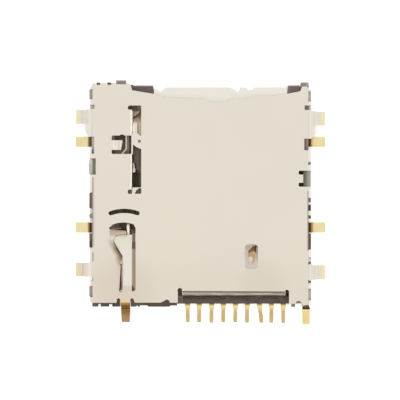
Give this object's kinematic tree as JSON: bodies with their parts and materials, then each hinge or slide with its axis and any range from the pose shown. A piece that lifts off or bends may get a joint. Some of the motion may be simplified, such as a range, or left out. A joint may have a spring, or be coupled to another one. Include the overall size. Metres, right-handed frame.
{
  "type": "memory card connector",
  "caption": "Low-profile push-push memory card socket with a folded sheet shell, solder tabs, spring contacts, a sprung slider, a heart cam and a cam pin.",
  "frame": {"origin": "centre of the outline on the board plane, under the solder feet", "axes": "+X to the right seen from above, +Y towards the card mouth, +Z away from the board"},
  "size_m": [0.016, 0.0156, 0.0014],
  "materials": {
    "stainless_sheet": "satin stainless sheet, gold-plated on the solder feet",
    "plate_sheet": "satin stainless sheet",
    "housing_plastic": "moulded, slightly glossy black plastic",
    "slider_plastic": "moulded black plastic",
    "spring_steel": "bright spring wire and strip",
    "gold_plated": "thin gold plating over copper alloy"
  },
  "bodies": {
    "base": {"shell": "stainless_sheet", "housing": "housing_plastic", "front_plate": "plate_sheet", "coil_spring": "spring_steel", "contact_1": "gold_plated", "contact_2": "gold_plated", "contact_3": "gold_plated", "contact_4": "gold_plated", "contact_5": "gold_plated", "contact_6": "gold_plated", "contact_7": "gold_plated", "contact_8": "gold_plated", "detect_contact": "gold_plated", "detect_terminal": "gold_plated", "anchor_front_left": "gold_plated", "anchor_front_right": "gold_plated", "anchor_rear_left": "gold_plated", "anchor_rear_right": "gold_plated"},
    "ejector": {"slider": "slider_plastic", "latch_spring": "spring_steel"},
    "pin": {"cam_pin": "spring_steel"}
  },
  "joints": [
    {"name": "card_push", "type": "slide", "parent": "base", "child": "ejector", "axis": [0, -1, 0], "range_m": [0, 0.0037], "stiffness_N_per_m": 150, "deforming": ["coil_spring"]},
    {"name": "cam_pin_swing", "type": "hinge", "parent": "base", "child": "pin", "pos_m": [-0.00463, -0.00575, 0.001], "axis": [0, 0, 1], "range_deg": [0, 11.5]}
  ],
  "couplings": [
    {"joint": "cam_pin_swing", "follows": "card_push", "rad_per_m": 51.888}
  ]
}
